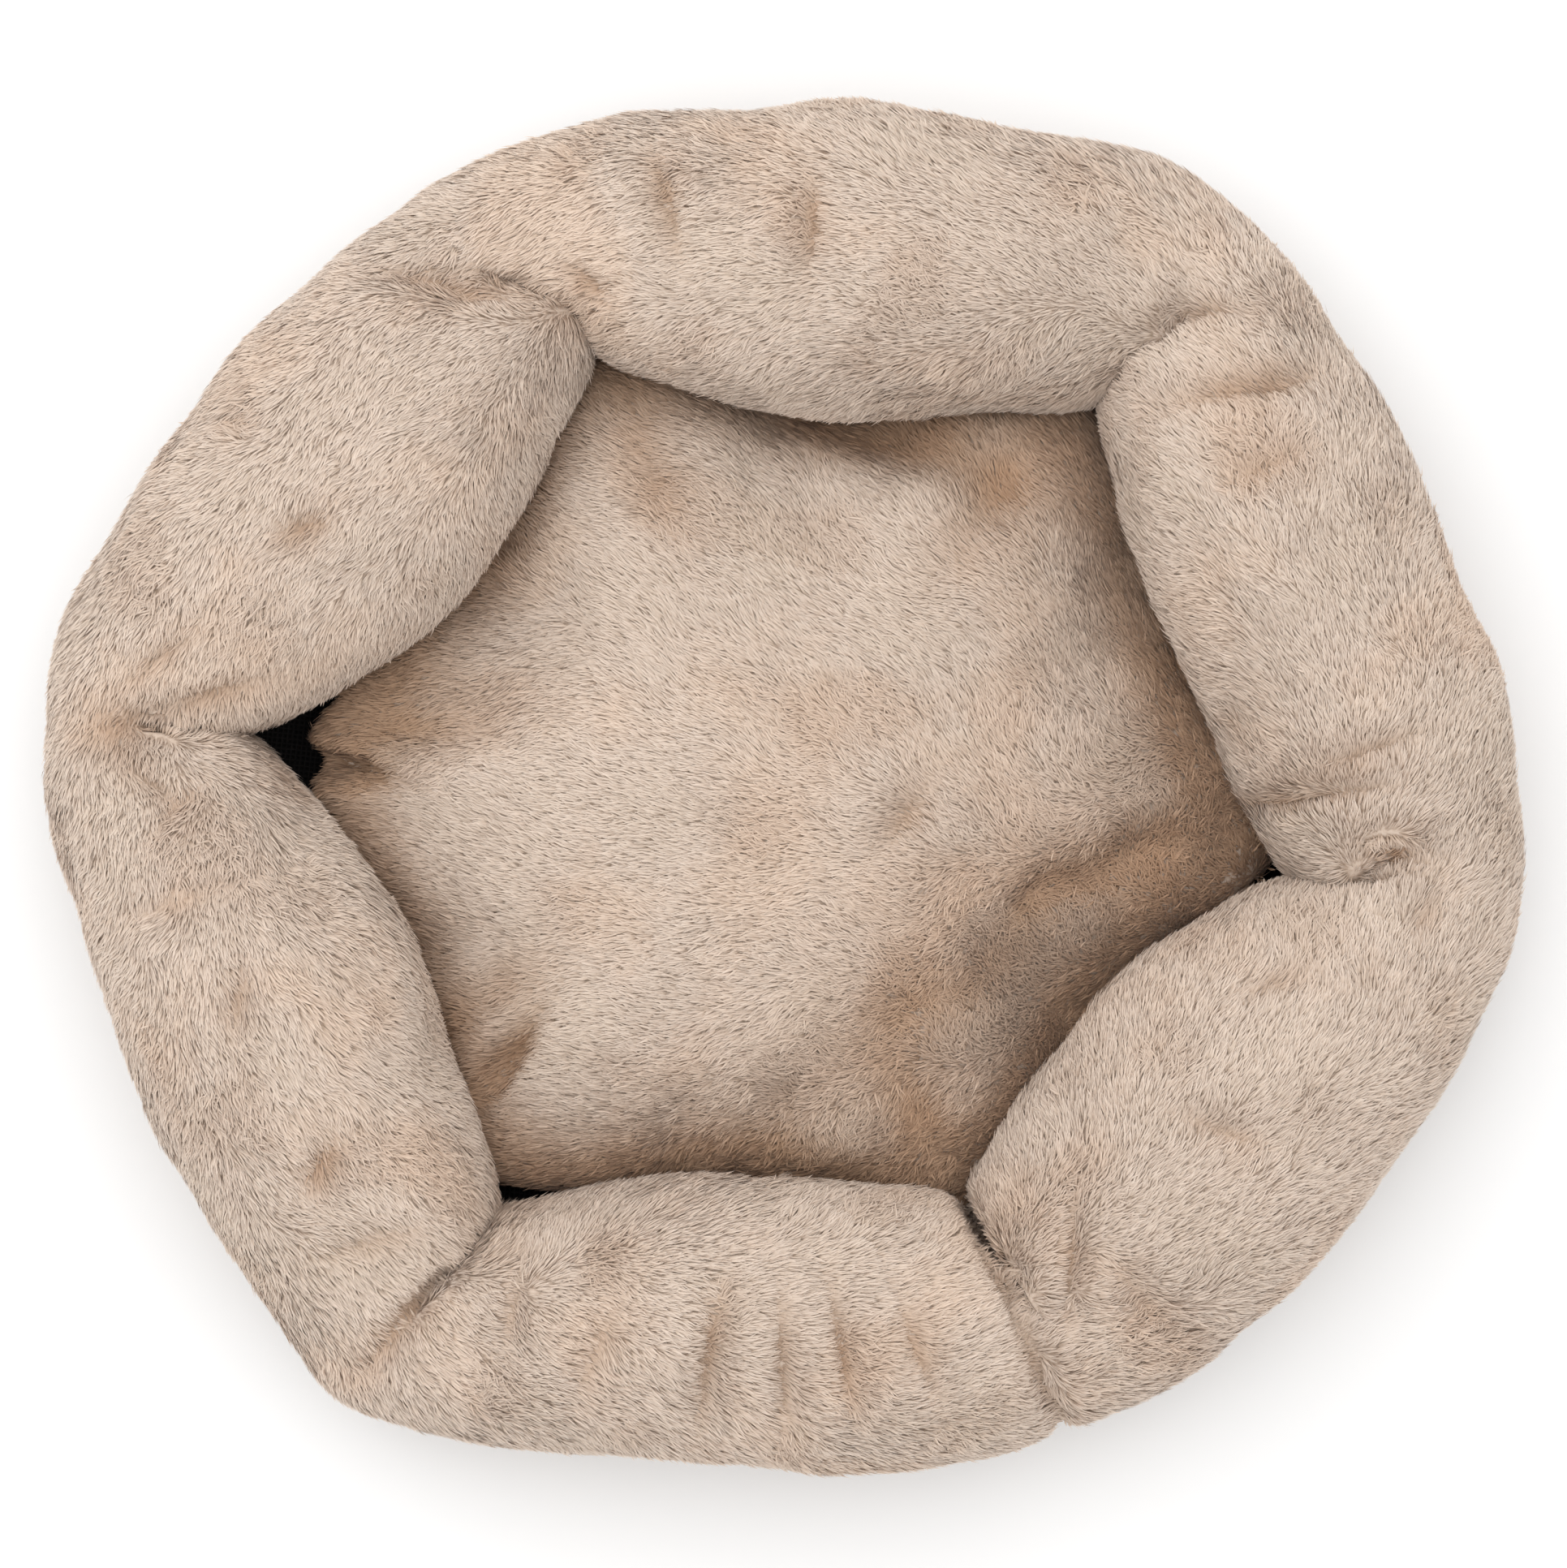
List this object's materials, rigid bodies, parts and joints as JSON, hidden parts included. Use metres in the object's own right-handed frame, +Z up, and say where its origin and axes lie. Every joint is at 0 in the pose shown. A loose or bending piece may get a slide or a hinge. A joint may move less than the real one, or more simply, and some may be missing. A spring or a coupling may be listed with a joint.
{
  "type": "pet cushion bed",
  "caption": "Hexagonal plush pet bed: a plump stuffed rim gathered at its inner corners, a dark woven floor and a loose crowned cushion that lifts out.",
  "frame": {"origin": "centre of the underside, on the surface that the bed stands on", "axes": "+Z up out of the nest; +X from the centre to one corner of the hexagon; +Y to the middle of a side"},
  "size_m": [0.618, 0.582, 0.138],
  "materials": {
    "rim_plush": "matte",
    "cushion_plush": "matte",
    "fibre_fill": "matte",
    "panel_weave": "matte",
    "lining_weave": "matte",
    "tack_thread": "matte"
  },
  "bodies": {
    "bed": {"bolster_cover_1": "rim_plush", "bolster_cover_2": "rim_plush", "bolster_cover_3": "rim_plush", "bolster_cover_4": "rim_plush", "bolster_cover_5": "rim_plush", "bolster_cover_6": "rim_plush", "bolster_filling_1": "fibre_fill", "bolster_filling_2": "fibre_fill", "bolster_filling_3": "fibre_fill", "bolster_filling_4": "fibre_fill", "bolster_filling_5": "fibre_fill", "bolster_filling_6": "fibre_fill", "base_panel": "panel_weave", "floor_lining": "lining_weave", "corner_tacks": "tack_thread"},
    "cushion": {"cushion_underside": "cushion_plush", "cushion_top": "cushion_plush", "cushion_filling": "fibre_fill"}
  },
  "joints": [
    {"name": "cushion_lift", "type": "slide", "parent": "bed", "child": "cushion", "axis": [0, 0, 1], "range_m": [0, 0.22]}
  ]
}
